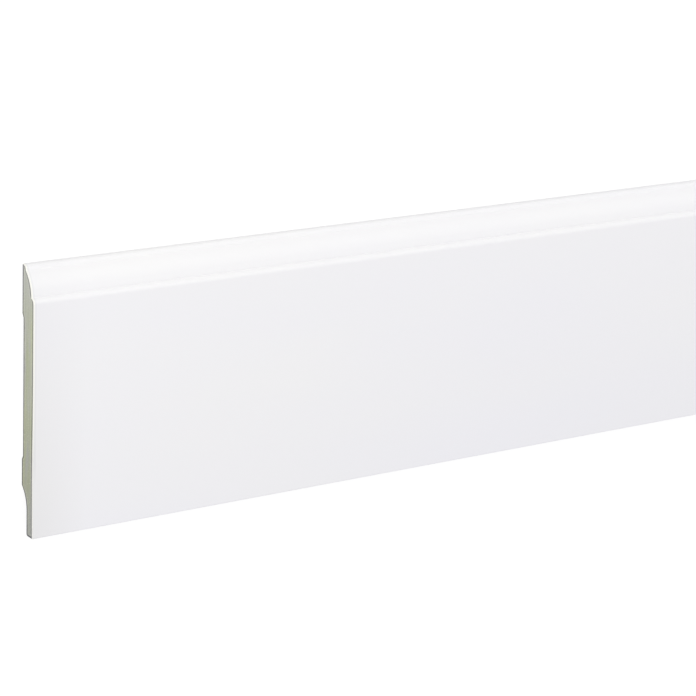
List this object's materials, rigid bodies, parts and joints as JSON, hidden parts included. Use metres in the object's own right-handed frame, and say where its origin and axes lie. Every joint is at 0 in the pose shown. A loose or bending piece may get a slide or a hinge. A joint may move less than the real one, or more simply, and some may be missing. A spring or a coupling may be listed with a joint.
{
  "type": "skirting board length",
  "caption": "White foil-faced moisture-resistant MDF skirting board with an ovolo and bead along the top, a shallow back groove and a coved foot.",
  "frame": {"origin": "middle of the board's footprint, at the level of the wall side it lies on", "axes": "+X along the length, +Y from the floor edge to the moulded top edge, +Z out of the white face"},
  "size_m": [2.4, 0.12, 0.01],
  "materials": {
    "green_grey_mdf": "matte",
    "white_foil": "satin"
  },
  "bodies": {
    "root": {"mdf_core": "green_grey_mdf", "white_foil": "white_foil"}
  },
  "joints": []
}
